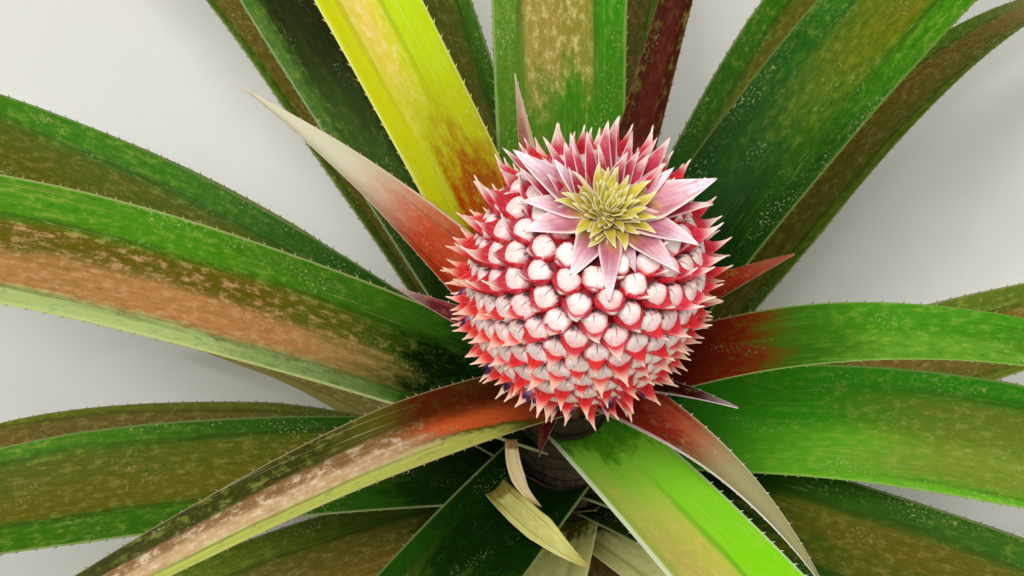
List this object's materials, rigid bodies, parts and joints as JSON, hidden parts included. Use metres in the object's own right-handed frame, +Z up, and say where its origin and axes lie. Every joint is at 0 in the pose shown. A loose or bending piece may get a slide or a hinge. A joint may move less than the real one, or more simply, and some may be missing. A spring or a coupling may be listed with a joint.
{
  "type": "pineapple plant",
  "caption": "Flowering pineapple plant: spiral rosette of long channelled leaves round a short stem, with a red-bracted young fruit on a stalk.",
  "frame": {"origin": "centre of the flat cut under the stem, level with the ground", "axes": "+Z up; -Y points to the side that the picture is taken from, and +X to the right in it"},
  "size_m": [1.1834, 1.2054, 0.4209],
  "materials": {
    "stem_bark": "matt, fibrous, ringed with leaf scars",
    "stalk_skin": "matt, fleshy, with a pale bloom",
    "fruit_rind": "matt mealy white eyes over red bracts",
    "crown_bract": "soft satin, pale yellow-green to pink",
    "leaf_blade": "waxy satin, mottled green and red-brown with pale scurf",
    "old_leaf_blade": "waxy satin, olive green with a brown middle",
    "red_stalk_leaf": "satin red with a pale tip and margin",
    "dry_leaf_blade": "dull dry straw"
  },
  "bodies": {
    "root": {"stem": "stem_bark", "fruit_stalk": "stalk_skin", "fruit": "fruit_rind", "crown_bud": "crown_bract", "leaf_01": "leaf_blade", "leaf_02": "leaf_blade", "leaf_03": "leaf_blade", "leaf_04": "leaf_blade", "leaf_05": "leaf_blade", "leaf_06": "leaf_blade", "leaf_07": "leaf_blade", "leaf_08": "leaf_blade", "leaf_09": "leaf_blade", "leaf_10": "old_leaf_blade", "leaf_11": "old_leaf_blade", "leaf_12": "old_leaf_blade", "leaf_13": "old_leaf_blade", "leaf_14": "old_leaf_blade", "leaf_15": "old_leaf_blade", "leaf_16": "old_leaf_blade", "leaf_17": "old_leaf_blade", "leaf_18": "old_leaf_blade", "leaf_19": "old_leaf_blade", "leaf_20": "old_leaf_blade", "leaf_21": "old_leaf_blade", "leaf_22": "old_leaf_blade", "leaf_23": "old_leaf_blade", "leaf_24": "old_leaf_blade", "leaf_25": "old_leaf_blade", "leaf_26": "old_leaf_blade", "stalk_leaf_01": "red_stalk_leaf", "stalk_leaf_02": "red_stalk_leaf", "stalk_leaf_03": "red_stalk_leaf", "stalk_leaf_04": "red_stalk_leaf", "stalk_leaf_05": "red_stalk_leaf", "stalk_leaf_06": "red_stalk_leaf", "stalk_leaf_07": "red_stalk_leaf", "stalk_leaf_08": "red_stalk_leaf", "dry_leaf_01": "dry_leaf_blade", "dry_leaf_02": "dry_leaf_blade", "dry_leaf_03": "dry_leaf_blade", "dry_leaf_04": "dry_leaf_blade"}
  },
  "joints": []
}
